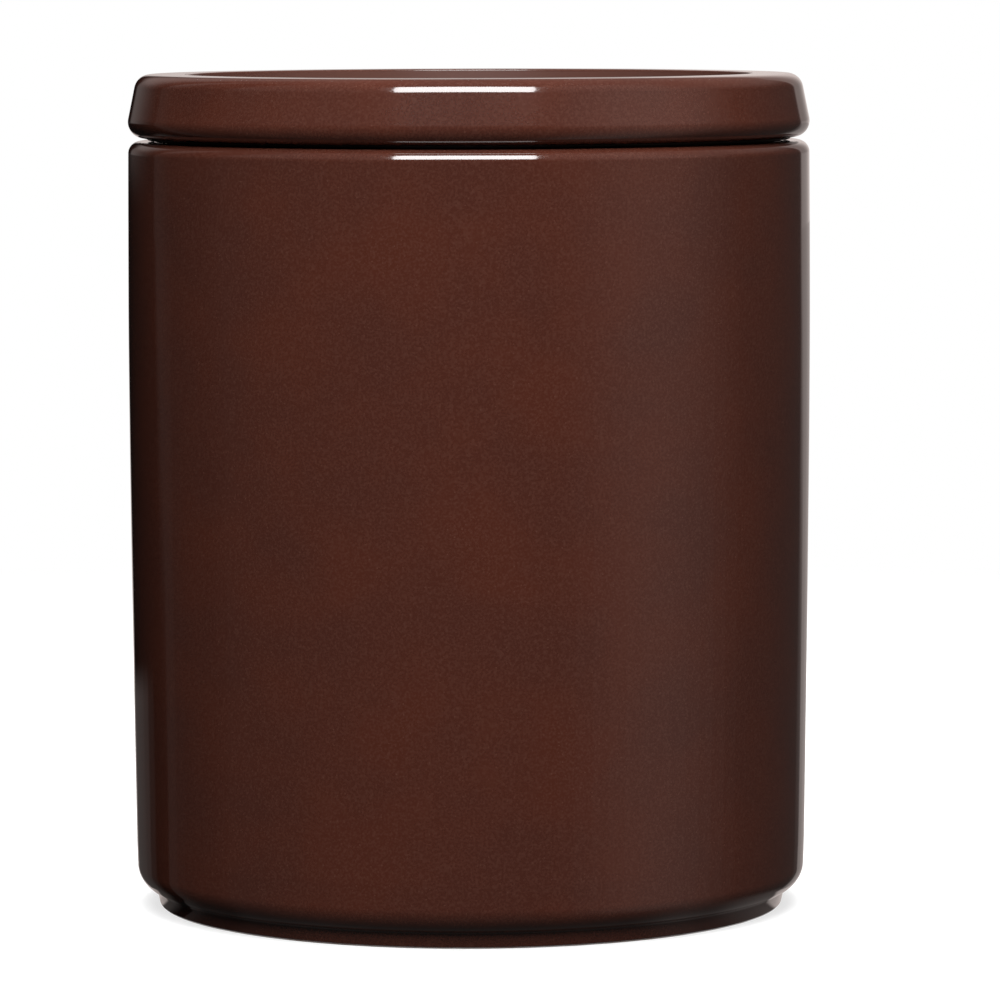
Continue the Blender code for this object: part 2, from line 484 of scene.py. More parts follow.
@dataclass(frozen=True, kw_only=True)
class GlazedStoneware(Finish):
    """Stoneware cast in a mould and fired with a glossy brown glaze.

    The glaze is a coloured glass: a clear sharp gloss over a deep even brown, with iron specks as fine as
    dust and slow clouds where it lies thicker. Sprayed thin it fires to a paler satin that spreads
    reflections into an even veil. Where it was wiped off before firing, dry pale clay shows.
    """

    wiped_below: float
    satin_radius: float = 0.0
    satin_above: float = 0.0

    colour: str = "#472218"
    thick_glaze: str = "#422119"
    speck: str = "#6C4A3F"
    satin_glaze: str = "#523730"
    clay: str = "#8A6A52"

    ior: float = 1.5
    body_roughness: float = 0.10
    coat_roughness: float = 0.035
    satin_roughness: float = 0.3
    clay_roughness: float = 0.85

    cloud_size: float = 16 * MM
    cloud_band: Point = (0.35, 0.65)
    # The real grain and specks are finer than the picture shows, so both are drawn just coarse enough for it.
    grain_size: float = 0.42 * MM
    grain_band: Point = (0.42, 0.78)
    grain_cover: float = 0.2
    speck_spacing: float = 0.62 * MM
    speck_size: float = 0.17 * MM
    speckless_share: float = 0.55
    speck_cover: float = 0.55
    peel_size: float = 3.0 * MM
    peel_depth: float = 0.0012 * MM
    satin_cover: float = 0.85
    satin_edge: float = 0.05 * MM
    wipe_edge: float = 0.08 * MM
    wipe_waver: float = 0.15 * MM
    wipe_waver_size: float = 5 * MM

    def surface(self, graph: Graph) -> Node:
        """Shades glossy glaze, satin glaze and bare clay on Object coordinates.

        Args:
            graph: The material's tree.

        Returns:
            The shader.
        """
        place = graph.add("ShaderNodeTexCoord").outputs["Object"]
        bare = self.bare_share(graph, place)
        satin = self.satin_share(graph, place)
        cover = graph.add("ShaderNodeMath", satin, self.satin_cover, operation="MULTIPLY")
        glossy = self.glaze_colour(graph, place)
        glaze = graph.add("ShaderNodeMix", cover, glossy, linear(self.satin_glaze), data_type="RGBA")
        colour = graph.add("ShaderNodeMix", bare, glaze, linear(self.clay), data_type="RGBA")
        by_satin = {"Value": satin, "To Min": self.body_roughness, "To Max": self.satin_roughness}
        fired = graph.add("ShaderNodeMapRange", by_satin)
        by_wipe = {"Value": bare, "To Min": fired, "To Max": self.clay_roughness}
        roughness = graph.add("ShaderNodeMapRange", by_wipe)
        dull = graph.add("ShaderNodeMath", bare, satin, operation="MAXIMUM")
        gloss = graph.add("ShaderNodeMapRange", {"Value": dull, "To Min": 1.0, "To Max": 0.0})
        peel = graph.add("ShaderNodeTexNoise", {"Vector": place, "Scale": 1 / self.peel_size, "Detail": 1.0})
        bump = graph.add("ShaderNodeBump", {"Height": peel, "Distance": self.peel_depth})
        body = {"Base Color": colour, "Roughness": roughness, "IOR": self.ior, "Normal": bump}
        coat = {"Coat Weight": gloss, "Coat Roughness": self.coat_roughness, "Coat IOR": self.ior}
        return graph.add("ShaderNodeBsdfPrincipled", body | coat | {"Coat Normal": bump})

    def glaze_colour(self, graph: Graph, place: NodeSocket) -> Node:
        """Draws the glaze's clouds, its fine grain and its scattered specks.

        Args:
            graph: The material's tree.
            place: Object coordinates.

        Returns:
            The glaze's colour.
        """
        glaze, thick_glaze, speck = linear(self.colour), linear(self.thick_glaze), linear(self.speck)
        low, high = self.cloud_band
        cloud = graph.add("ShaderNodeTexNoise", {"Vector": place, "Scale": 1 / self.cloud_size})
        thick = graph.add("ShaderNodeMapRange", {"Value": cloud, "From Min": low, "From Max": high})
        base = graph.add("ShaderNodeMix", thick, glaze, thick_glaze, data_type="RGBA")
        low, high = self.grain_band
        fine = {"Vector": place, "Scale": 1 / self.grain_size, "Detail": 1.0}
        grain = graph.add("ShaderNodeTexNoise", fine)
        spread = {"Value": grain, "From Min": low, "From Max": high, "To Max": self.grain_cover}
        dusted = graph.add("ShaderNodeMapRange", spread)
        grained = graph.add("ShaderNodeMix", dusted, base, speck, data_type="RGBA")
        cells = graph.add("ShaderNodeTexVoronoi", {"Vector": place, "Scale": 1 / self.speck_spacing}).outputs
        rim = self.speck_size / self.speck_spacing
        inwards = {"Value": cells["Distance"], "From Min": rim, "From Max": 0.0}
        near = graph.add("ShaderNodeMapRange", inwards, interpolation_type="SMOOTHSTEP")
        draw = graph.add("ShaderNodeSeparateColor", cells["Color"])
        pick = {"Value": draw, "From Min": self.speckless_share, "From Max": 1.0, "To Max": self.speck_cover}
        chosen = graph.add("ShaderNodeMapRange", pick)
        dots = graph.add("ShaderNodeMath", near, chosen, operation="MULTIPLY")
        return graph.add("ShaderNodeMix", dots, grained, speck, data_type="RGBA")

    def satin_share(self, graph: Graph, place: NodeSocket) -> Node:
        """Marks the satin part: inside one radius and above one height.

        Args:
            graph: The material's tree.
            place: Object coordinates.

        Returns:
            1 on satin glaze and 0 on glossy glaze.
        """
        apart = graph.add("ShaderNodeSeparateXYZ", place).outputs
        across = graph.add("ShaderNodeCombineXYZ", apart["X"], apart["Y"])
        radius = graph.add("ShaderNodeVectorMath", across, operation="LENGTH")
        edge = self.satin_edge
        near = {"Value": radius, "From Min": self.satin_radius + edge, "From Max": self.satin_radius - edge}
        high = {"Value": apart["Z"], "From Min": self.satin_above - edge, "From Max": self.satin_above + edge}
        inside = graph.add("ShaderNodeMapRange", near)
        above = graph.add("ShaderNodeMapRange", high)
        return graph.add("ShaderNodeMath", inside, above, operation="MULTIPLY")

    def bare_share(self, graph: Graph, place: NodeSocket) -> Node:
        """Marks the wiped clay below one height, with the slightly uneven edge that a sponge leaves.

        Args:
            graph: The material's tree.
            place: Object coordinates.

        Returns:
            1 on bare clay and 0 on glaze.
        """
        height = graph.add("ShaderNodeSeparateXYZ", place).outputs["Z"]
        slow = {"Vector": place, "Scale": 1 / self.wipe_waver_size, "Detail": 1.0}
        waver = graph.add("ShaderNodeTexNoise", slow)
        sway = {"Value": waver, "To Min": -self.wipe_waver, "To Max": self.wipe_waver}
        level = graph.add("ShaderNodeMath", height, graph.add("ShaderNodeMapRange", sway), operation="ADD")
        low, high = self.wiped_below - self.wipe_edge, self.wiped_below + self.wipe_edge
        return graph.add("ShaderNodeMapRange", {"Value": level, "From Min": high, "From Max": low})


@dataclass(frozen=True, kw_only=True)
class Silicone(Finish):
    """Moulded silicone rubber.

    It looks dark, soft and even: a broad dull sheen with no sharp reflection, and the mould's satin texture.
    """

    name: str = "moulded_silicone"
    colour: str = "#1B1614"
    dusted: str = "#26201D"
    roughness: float = 0.5
    ior: float = 1.41
    texture_size: float = 0.35 * MM
    texture_depth: float = 0.01 * MM
    bloom_size: float = 7 * MM

    def surface(self, graph: Graph) -> Node:
        """Shades the rubber on Object coordinates, with its faint bloom and its satin texture.

        Args:
            graph: The material's tree.

        Returns:
            The shader.
        """
        place = graph.add("ShaderNodeTexCoord").outputs["Object"]
        broad = {"Vector": place, "Scale": 1 / self.bloom_size, "Detail": 3.0}
        bloom = graph.add("ShaderNodeTexNoise", broad)
        colour = graph.add("ShaderNodeMix", bloom, linear(self.colour), linear(self.dusted), data_type="RGBA")
        fine = {"Vector": place, "Scale": 1 / self.texture_size, "Detail": 1.0}
        satin = graph.add("ShaderNodeTexNoise", fine)
        bump = graph.add("ShaderNodeBump", {"Height": satin, "Distance": self.texture_depth})
        body = {"Base Color": colour, "Roughness": self.roughness, "IOR": self.ior, "Normal": bump}
        return graph.add("ShaderNodeBsdfPrincipled", body)


@dataclass(kw_only=True)
class GlazedPiece(ABC):
    """A cast piece of glazed stoneware, turned from its section."""

    name: str
    turn_steps: int
    ripple_depth: float
    ripple_width: float
    ripple_seed: float
    wiped_height: float

    @abstractmethod
    def section(self) -> Section:
        """Draws the piece's section."""

    @abstractmethod
    def finish(self) -> GlazedStoneware:
        """Returns the piece's finish."""

    def build(self, glaze_tree: NodeTree) -> Object:
        """Turns and dresses the piece.

        Args:
            glaze_tree: The tree that turns glazed pieces.

        Returns:
            The finished piece.
        """
        sizes = {
            "Turn_Steps": self.turn_steps,
            "Ripple_Depth": self.ripple_depth,
            "Ripple_Width": self.ripple_width,
            "Seed": self.ripple_seed,
            "Finish": self.finish().material(),
        }
        return grown(self.name, self.section().outline(), glaze_tree, sizes)


@dataclass(kw_only=True)
class Jar(GlazedPiece):
    """The jar itself: one cast piece with a wall that swells slightly, a rounded heel and a foot ring."""

    radius: float
    height: float
    name: str = "jar_body_fine"
    turn_steps: int = 288
    widest_height: float = 102 * MM
    heel_draw_in: float = 0.97 * MM
    draw_in_power: float = 1.5
    shoulder_rounding: float = 2.1 * MM
    heel_rounding: float = 4.6 * MM
    wall: float = 5.4 * MM
    floor: float = 6.0 * MM
    mouth_rounding: float = 1.0 * MM
    corner_inside: float = 9.0 * MM
    foot_height: float = 2.8 * MM
    foot_inset: float = 3.35 * MM
    foot_ring_width: float = 4.6 * MM
    foot_draft: float = 0.6 * MM
    foot_cove: float = 0.5 * MM
    foot_rounding: float = 0.6 * MM
    underside_hollow: float = 2.2 * MM
    underside_rounding: float = 1.2 * MM
    ring_spacing: float = 4.0 * MM
    ripple_depth: float = 0.025 * MM
    ripple_width: float = 22 * MM
    ripple_seed: float = 3.0
    wiped_height: float = 0.15 * MM

    def outer_radius(self, height: float) -> float:
        """Returns the wall's outer radius, which draws in above and below its widest height."""
        away = (self.widest_height - height) / (self.widest_height - self.foot_height)
        return self.radius - self.heel_draw_in * abs(away) ** self.draw_in_power

    def inner_radius(self, height: float) -> float:
        """Returns the wall's inner radius."""
        return self.outer_radius(height) - self.wall

    def rings(self, low: float, high: float) -> list[float]:
        """Returns evenly spaced heights strictly between two, lowest first."""
        count = max(1, round((high - low) / self.ring_spacing))
        return [low + (high - low) * i / count for i in range(1, count)]

    def heel(self) -> list[Point]:
        """Draws the heel, from the wall down to the top of the foot ring.

        Returns:
            The points of its arc.
        """
        wall = self.outer_radius(self.foot_height)
        turn = math.acos(max(0.0, 1 - self.foot_inset / self.heel_rounding))
        centre = (wall - self.heel_rounding, self.foot_height + self.heel_rounding * math.sin(turn))
        return arc(centre, self.heel_rounding, 0.0, -turn)

    def section(self) -> Section:
        """Draws inner floor, inner wall, mouth, outer wall, heel and foot ring, in that order.

        Returns:
            The section.
        """
        made = Section()
        floor = self.underside_hollow + self.floor
        heel = self.heel()
        foot_top = self.outer_radius(self.foot_height) - self.foot_inset
        foot_base = foot_top - self.foot_draft
        ring_inside = foot_base - self.foot_ring_width
        made.add(0.0, floor)
        made.add(self.inner_radius(floor), floor, self.corner_inside)
        for height in self.rings(floor + self.corner_inside, self.height - self.mouth_rounding):
            made.add(self.inner_radius(height), height)
        made.add(self.inner_radius(self.height), self.height, self.mouth_rounding)
        made.add(self.outer_radius(self.height), self.height, self.shoulder_rounding)
        for height in reversed(self.rings(heel[0][1], self.height - self.shoulder_rounding)):
            made.add(self.outer_radius(height), height)
        for radius, height in heel[:-1]:
            made.add(radius, height)
        made.add(foot_top, self.foot_height, self.foot_cove)
        made.add(foot_base, 0.0, self.foot_rounding)
        made.add(ring_inside, 0.0, self.foot_rounding)
        made.add(ring_inside - self.underside_hollow, self.underside_hollow, self.underside_rounding)
        made.add(0.0, self.underside_hollow)
        return made

    def finish(self) -> GlazedStoneware:
        """Returns the jar's finish, wiped off the foot that it stands on."""
        return GlazedStoneware(name="slip_cast_glazed_stoneware", wiped_below=self.wiped_height)


@dataclass(kw_only=True)
class Lid(GlazedPiece):
    """The lid: a flat rim round a dish, a side that leans in, and a spigot with a channel for the seal."""

    radius: float
    base: float
    top: float
    spigot_end: float
    mouth: float
    rebate_radius: float
    name: str = "lid_fine"
    turn_steps: int = 320
    side_taper: float = 11.5
    top_rounding: float = 2.8 * MM
    lower_rounding: float = 2.8 * MM
    rim_width: float = 8.5 * MM
    dish_depth: float = 5.8 * MM
    dish_draft: float = 0.5 * MM
    dish_edge_rounding: float = 0.3 * MM
    dish_corner: float = 3.0 * MM
    plate: float = 5.0 * MM
    spigot_wall: float = 4.4 * MM
    spigot_draft: float = 0.6 * MM
    spigot_tip_rounding: float = 1.0 * MM
    spigot_corner: float = 2.5 * MM
    seal_room: float = 2.9 * MM
    channel_rounding: float = 0.25 * MM
    lip_height: float = 2.0 * MM
    lip_reach: float = 1.0 * MM
    lip_ramp: float = 0.5 * MM
    rebate_depth: float = 0.8 * MM
    ripple_depth: float = 0.02 * MM
    ripple_width: float = 20 * MM
    ripple_seed: float = 8.0
    wiped_height: float = 0.6 * MM

    @property
    def lower_corner(self) -> float:
        """Radius at which the leaning side would meet the lid's base if neither were rounded."""
        opening = math.pi / 2 - math.radians(self.side_taper)
        return self.radius - self.lower_rounding + self.lower_rounding / math.tan(opening / 2)

    @property
    def upper_corner(self) -> float:
        """Radius at which the leaning side would meet the flat rim."""
        return self.lower_corner - (self.top - self.base) * math.tan(math.radians(self.side_taper))

    @property
    def dish_edge(self) -> float:
        """Radius at which the flat rim drops into the dish."""
        return self.upper_corner - self.rim_width

    @property
    def dish_floor(self) -> float:
        """Height of the dish's floor."""
        return self.top - self.dish_depth

    @property
    def channel(self) -> float:
        """Radius of the channel's floor, which the seal grips."""
        return self.mouth - self.seal_room

    def section(self) -> Section:
        """Draws dish, rim, leaning side, underside, spigot and underside panel, in that order.

        Returns:
            The section.
        """
        made = Section()
        panel = self.dish_floor - self.plate
        seat = self.base + self.rebate_depth
        channel_end = self.spigot_end + self.lip_height + self.lip_ramp
        lip = self.channel + self.lip_reach
        spigot_inside = self.channel - self.spigot_wall
        made.add(0.0, self.dish_floor)
        made.add(self.dish_edge - self.dish_draft, self.dish_floor, self.dish_corner)
        made.add(self.dish_edge, self.top, self.dish_edge_rounding)
        made.add(self.upper_corner, self.top, self.top_rounding)
        made.add(self.lower_corner, self.base, self.lower_rounding)
        made.add(self.rebate_radius, self.base, self.channel_rounding)
        made.add(self.rebate_radius, seat, self.channel_rounding)
        made.add(self.channel, seat, self.channel_rounding)
        made.add(self.channel, channel_end, self.channel_rounding)
        made.add(lip, channel_end - self.lip_ramp, self.channel_rounding)
        made.add(lip, self.spigot_end, self.spigot_tip_rounding)
        made.add(spigot_inside, self.spigot_end, self.spigot_tip_rounding)
        made.add(spigot_inside - self.spigot_draft, panel, self.spigot_corner)
        made.add(0.0, panel)
        return made

    def finish(self) -> GlazedStoneware:
        """Gives the lid's finish, satin in the dish and wiped off the spigot's end.

        Returns:
            The finish.
        """
        return GlazedStoneware(
            name="press_cast_glazed_stoneware",
            wiped_below=self.spigot_end + self.wiped_height,
            satin_radius=self.dish_edge,
            satin_above=self.dish_floor - self.plate / 2,
        )


@dataclass(kw_only=True)
class Seal:
    """The ring seal: a flange between lid and jar, a sleeve in the channel and fins that wipe the mouth."""

    channel: float
    mouth: float
    flange_reach: float
    flange_top: float
    flange_base: float
    sleeve_base: float
    name: str = "sealing_ring_fine"
    turn_steps: int = 256
    clearance: float = 0.25 * MM
    sleeve_wall: float = 1.1 * MM
    fin_count: int = 3
    fin_root: float = 1.1 * MM
    fin_tip: float = 0.5 * MM
    fin_lift: float = 0.4 * MM
    fin_rounding: float = 0.18 * MM
    rounding_steps: int = 4
    fin_sunk: float = 0.4 * MM
    edge_rounding: float = 0.22 * MM

    @property
    def sleeve_inside(self) -> float:
        """Radius of the sleeve's inner face, which lies clear of the channel's floor."""
        return self.channel + self.clearance

    @property
    def sleeve_outside(self) -> float:
        """Radius of the sleeve's outer face, which carries the fins."""
        return self.sleeve_inside + self.sleeve_wall

    def section(self) -> Section:
        """Draws flange and sleeve as one closed loop.

        Returns:
            The section.
        """
        made = Section(closed=True)
        corners = (
            (self.sleeve_inside, self.flange_top),
            (self.flange_reach, self.flange_top),
            (self.flange_reach, self.flange_base),
            (self.sleeve_outside, self.flange_base),
            (self.sleeve_outside, self.sleeve_base),
            (self.sleeve_inside, self.sleeve_base),
        )
        for radius, height in corners:
            made.add(radius, height, self.edge_rounding)
        return made

    def build(self, seal_tree: NodeTree) -> Object:
        """Turns the sleeve, repeats the fins down it and dresses the seal.

        Args:
            seal_tree: The tree that makes a finned sleeve.

        Returns:
            The finished piece.
        """
        pitch = (self.flange_base - self.sleeve_base) / self.fin_count
        sizes = {
            "Turn_Steps": self.turn_steps,
            "Fin_Count": self.fin_count,
            "Fin_Pitch": pitch,
            "First_Fin": self.flange_base - pitch / 2,
            "Fin_Inside": self.sleeve_outside - self.fin_sunk,
            "Fin_Reach": self.mouth - self.clearance,
            "Fin_Root": self.fin_root,
            "Fin_Tip": self.fin_tip,
            "Fin_Lift": self.fin_lift,
            "Fin_Rounding": self.fin_rounding,
            "Rounding_Steps": self.rounding_steps,
            "Finish": Silicone().material(),
        }
        return grown(self.name, self.section().outline(), seal_tree, sizes)


class Rays(Enum):
    """What a lamp or a card of the studio reaches the object with."""

    LIGHT = "light"
    REFLECTION = "reflection"
    BOTH = "both"

    def limit(self, thing: Object) -> None:
        """Limits an object to these rays, unseen by the camera.

        Args:
            thing: The lamp or card.
        """
        thing.visible_camera = False
        thing.visible_transmission = False
        thing.visible_diffuse = self is not Rays.REFLECTION
        thing.visible_glossy = self is not Rays.LIGHT


def seen_share(graph: Graph) -> Node:
    """Marks the rays that look at the backdrop: those of the camera, of gloss and through glass.

    Args:
        graph: The tree of a material or of the world.

    Returns:
        1 for such a ray and 0 for light that is only passed on.
    """
    path = graph.add("ShaderNodeLightPath").outputs
    direct = graph.add("ShaderNodeMath", path["Is Camera Ray"], path["Is Glossy Ray"], operation="MAXIMUM")
    return graph.add("ShaderNodeMath", direct, path["Is Transmission Ray"], operation="MAXIMUM")


def window(graph: Graph, value: Node | NodeSocket, low: float, high: float, softness: float) -> Node:
    """Makes a soft window on one measure.

    Args:
        graph: The material's tree.
        value: The measure.
        low: Where the window starts, at half of its soft edge.
        high: Where it ends.
        softness: Width of each soft edge.

    Returns:
        1 inside, 0 outside and soft between.
    """
    middle, half = (low + high) / 2, (high - low) / 2
    off = graph.add("ShaderNodeMath", value, middle, operation="SUBTRACT")
    away = graph.add("ShaderNodeMath", off, operation="ABSOLUTE")
    edges = {"Value": away, "From Min": half + softness / 2, "From Max": half - softness / 2}
    return graph.add("ShaderNodeMapRange", edges, interpolation_type="SMOOTHSTEP")


@dataclass(frozen=True)
class Patch:
    """A soft-edged patch of light or dark in the studio, by azimuth in degrees and by a second measure.

    The second measure is the elevation in degrees on the surround, and the distance in metres on the flag.
    """

    azimuth: float
    half_width: float
    low: float
    high: float
    level: float
    side_softness: float
    end_softness: float

    def share(self, graph: Graph, azimuth: Node | NodeSocket, second: Node | NodeSocket) -> Node:
        """Works out how far a place lies inside the patch.

        Args:
            graph: The material's tree.
            azimuth: The place's azimuth, in degrees.
            second: Its second measure.

        Returns:
            1 inside, 0 outside and soft between.
        """
        off = graph.add("ShaderNodeMath", azimuth, self.azimuth, operation="SUBTRACT")
        turn = graph.add("ShaderNodeMath", off, 180.0, -180.0, operation="WRAP")
        across = window(graph, turn, -self.half_width, self.half_width, self.side_softness)
        along = window(graph, second, self.low, self.high, self.end_softness)
        return graph.add("ShaderNodeMath", across, along, operation="MULTIPLY")


@dataclass(frozen=True)
class SoftLamp:
    """A rectangular lamp, placed by its azimuth, its distance from the jar's axis and its height.

    Its face is tilted down by the angle given, and 0 leaves it upright like a window.
    """

    name: str
    azimuth: float
    distance: float
    centre_height: float
    tilt: float
    width: float
    height: float
    power: float
    rays: Rays = Rays.BOTH

    def build(self) -> None:
        """Adds the lamp to the scene."""
        data = bpy.data.lights.new(self.name, "AREA")
        data.shape = "RECTANGLE"
        data.size = self.width
        data.size_y = self.height
        data.energy = self.power
        lamp = add_object(self.name, data)
        turn = math.radians(self.azimuth)
        place = Vector((math.sin(turn), -math.cos(turn), 0.0)) * self.distance
        place.z = self.centre_height
        facing = Matrix.Rotation(turn, 4, "Z") @ Matrix.Rotation(math.radians(90 - self.tilt), 4, "X")
        lamp.matrix_world = Matrix.Translation(place) @ facing
        self.rays.limit(lamp)
        LOG.info("%s, %.2f m from the axis at azimuth %.0f", self.name, self.distance, self.azimuth)


def shape_mesh(name: str, shape: bmesh.types.BMesh) -> Mesh:
    """Keeps a built shape as a mesh.

    Args:
        name: The mesh's name.
        shape: The shape, which is freed.

    Returns:
        The mesh.
    """
    mesh = bpy.data.meshes.new(name)
    shape.to_mesh(mesh)
    shape.free()
    return mesh


@dataclass(frozen=True, kw_only=True)
class StagePiece(ABC):
    """A part of the studio that stands round or under the object."""

    name: str

    @abstractmethod
    def mesh(self) -> Mesh:
        """Makes the shape."""

    @abstractmethod
    def surface(self, graph: Graph) -> Node:
        """Builds the shader of its paint."""

    def build(self) -> Object:
        """Makes the shape with its paint.

        Returns:
            The object.
        """
        mesh = self.mesh()
        mesh.materials.append(node_material(f"studio_{self.name}", self.surface))
        return add_object(self.name, mesh)


@dataclass(frozen=True, kw_only=True)
class MirroredStage(StagePiece):
    """A part of the studio that only reflections see, painted with cards, flags and backdrop."""

    cards: tuple[Patch, ...]
    base_level: float = 0.034
    tint: str = "#FFF0EB"

    def glow(self, graph: Graph, azimuth: Node | NodeSocket, second: Node | NodeSocket) -> Node:
        """Lays the cards over the base level, later ones over earlier ones, and lets them shine.

        Args:
            graph: The material's tree.
            azimuth: The place's azimuth, in degrees.
            second: Its second measure.

        Returns:
            The shader.
        """
        level: Any = self.base_level
        for card in self.cards:
            share = card.share(graph, azimuth, second)
            level = graph.add("ShaderNodeMix", share, level, card.level, data_type="FLOAT")
        return graph.add("ShaderNodeEmission", linear(self.tint), level)

    def build(self) -> Object:
        """Makes the shape with its paint and hides it from all but reflections.

        Returns:
            The object.
        """
        made = super().build()
        Rays.REFLECTION.limit(made)
        made.visible_shadow = False
        return made


@dataclass(frozen=True, kw_only=True)
class Surround(MirroredStage):
    """The studio round the object as its gloss sees it: dim walls, cards, dark flags and a white backdrop."""

    name: str = "surround"
    radius: float = 3.0
    subdivisions: int = 4

    def mesh(self) -> Mesh:
        """Makes a sphere that faces inwards.

        Returns:
            The mesh.
        """
        shape = bmesh.new()
        bmesh.ops.create_icosphere(shape, subdivisions=self.subdivisions, radius=self.radius)
        bmesh.ops.reverse_faces(shape, faces=shape.faces)
        return shape_mesh(self.name, shape)

    def surface(self, graph: Graph) -> Node:
        """Paints the cards by direction, with the white backdrop as the brightest of them.

        Args:
            graph: The material's tree.

        Returns:
            The shader.
        """
        place = graph.add("ShaderNodeTexCoord").outputs["Object"]
        apart = graph.add("ShaderNodeSeparateXYZ", place).outputs
        back = graph.add("ShaderNodeMath", apart["Y"], -1.0, operation="MULTIPLY")
        turn = graph.add("ShaderNodeMath", apart["X"], back, operation="ARCTAN2")
        azimuth = graph.add("ShaderNodeMath", turn, operation="DEGREES")
        sine = graph.add("ShaderNodeMath", apart["Z"], self.radius, operation="DIVIDE")
        lift = graph.add("ShaderNodeMath", sine, operation="ARCSINE")
        elevation = graph.add("ShaderNodeMath", lift, operation="DEGREES")
        return self.glow(graph, azimuth, elevation)


@dataclass(frozen=True, kw_only=True)
class FloorFlag(MirroredStage):
    """A dim card all over the floor, bright at the back alone.

    Its stripes run along the sight lines that the round wall mirrors, so each stands upright on the wall.
    """

    name: str = "floor_flag"
    foot_radius: float = 54.0 * MM
    wall_radius: float = 59.5 * MM
    reach: float = 3.0
    height: float = 0.3 * MM
    steps: int = 120
    azimuth_name: str = "mirror_azimuth"
    distance_name: str = "distance"

    def mesh(self) -> Mesh:
        """Makes the card from the sight lines that the wall mirrors, with two measures on its points.

        Returns:
            The mesh.
        """
        points, azimuths, distances = [], [], []
        for i in range(self.steps + 1):
            side = math.pi * (2 * i / self.steps - 1)
            mirrored = max(-math.pi, min(math.pi, 2 * side))
            outward = Vector((math.sin(side), -math.cos(side), 0.0))
            away = Vector((math.sin(mirrored), -math.cos(mirrored), 0.0))
            foot, wall = outward * self.foot_radius, outward * self.wall_radius
            for point, distance in ((foot, 0.0), (wall, 0.0), (wall + away * self.reach, self.reach)):
                points.append(point + Vector((0.0, 0.0, self.height)))
                azimuths.append(math.degrees(mirrored))
                distances.append(distance)
        corners = [3 * i + k for i in range(self.steps) for k in range(2)]
        mesh = bpy.data.meshes.new(self.name)
        mesh.from_pydata(points, [], [(first, first + 1, first + 4, first + 3) for first in corners])
        for name, values in ((self.azimuth_name, azimuths), (self.distance_name, distances)):
            mesh.attributes.new(name, "FLOAT", "POINT").data.foreach_set("value", values)
        return mesh

    def surface(self, graph: Graph) -> Node:
        """Paints the stripes from the two measures that the points carry, and leaves the back clear.

        Args:
            graph: The material's tree.

        Returns:
            The shader.
        """
        azimuth = graph.add("ShaderNodeAttribute", attribute_name=self.azimuth_name).outputs["Fac"]
        distance = graph.add("ShaderNodeAttribute", attribute_name=self.distance_name).outputs["Fac"]
        side = graph.add("ShaderNodeNewGeometry").outputs["Backfacing"]
        glow = self.glow(graph, azimuth, distance)
        return graph.add("ShaderNodeMixShader", side, glow, graph.add("ShaderNodeBsdfTransparent"))


@dataclass(frozen=True, kw_only=True)
class Floor(StagePiece):
    """A plain pale floor that runs out into the white backdrop and keeps the object's soft shadow.

    From below it can be seen through, and where the foot covers it, it has no middle. So the underside shows.
    """

    name: str = "floor"
    radius: float = 2.5
    segments: int = 96
    level: float = -0.02 * MM
    covered_radius: float = 54.3 * MM
    lit_share: float = 0.3
    own_white: float = 0.72
    bounce: str = "#2E2C2A"
    fade_start: float = 0.25
    fade_end: float = 0.6

    def mesh(self) -> Mesh:
        """Makes a disc.

        Returns:
            The mesh.
        """
        shape = bmesh.new()
        bmesh.ops.create_circle(shape, cap_ends=True, segments=self.segments, radius=self.radius)
        bmesh.ops.translate(shape, verts=shape.verts, vec=(0.0, 0.0, self.level))
        return shape_mesh(self.name, shape)

    def surface(self, graph: Graph) -> Node:
        """Shades the floor: white to the camera and to gloss, a soft grey to bounced light, clear where open.

        Args:
            graph: The material's tree.

        Returns:
            The shader.
        """
        place = graph.add("ShaderNodeTexCoord").outputs["Object"]
        away = graph.add("ShaderNodeVectorMath", place, operation="LENGTH")
        fade = {"Value": away, "From Min": self.fade_start, "From Max": self.fade_end}
        far = graph.add("ShaderNodeMapRange", fade, interpolation_type="SMOOTHSTEP")
        lit = graph.add("ShaderNodeBsdfDiffuse", grey(self.lit_share))
        glow = graph.add("ShaderNodeEmission", grey(1.0), self.own_white)
        near = graph.add("ShaderNodeAddShader", lit, glow)
        shown = graph.add("ShaderNodeMixShader", far, near, graph.add("ShaderNodeEmission", grey(1.0), 1.0))
        bounced = graph.add("ShaderNodeBsdfDiffuse", linear(self.bounce))
        top = graph.add("ShaderNodeMixShader", seen_share(graph), bounced, shown)
        under = graph.add("ShaderNodeNewGeometry").outputs["Backfacing"]
        covered = graph.add("ShaderNodeMath", away, self.covered_radius, operation="LESS_THAN")
        opened = graph.add("ShaderNodeMath", under, covered, operation="MAXIMUM")
        return graph.add("ShaderNodeMixShader", opened, top, graph.add("ShaderNodeBsdfTransparent"))


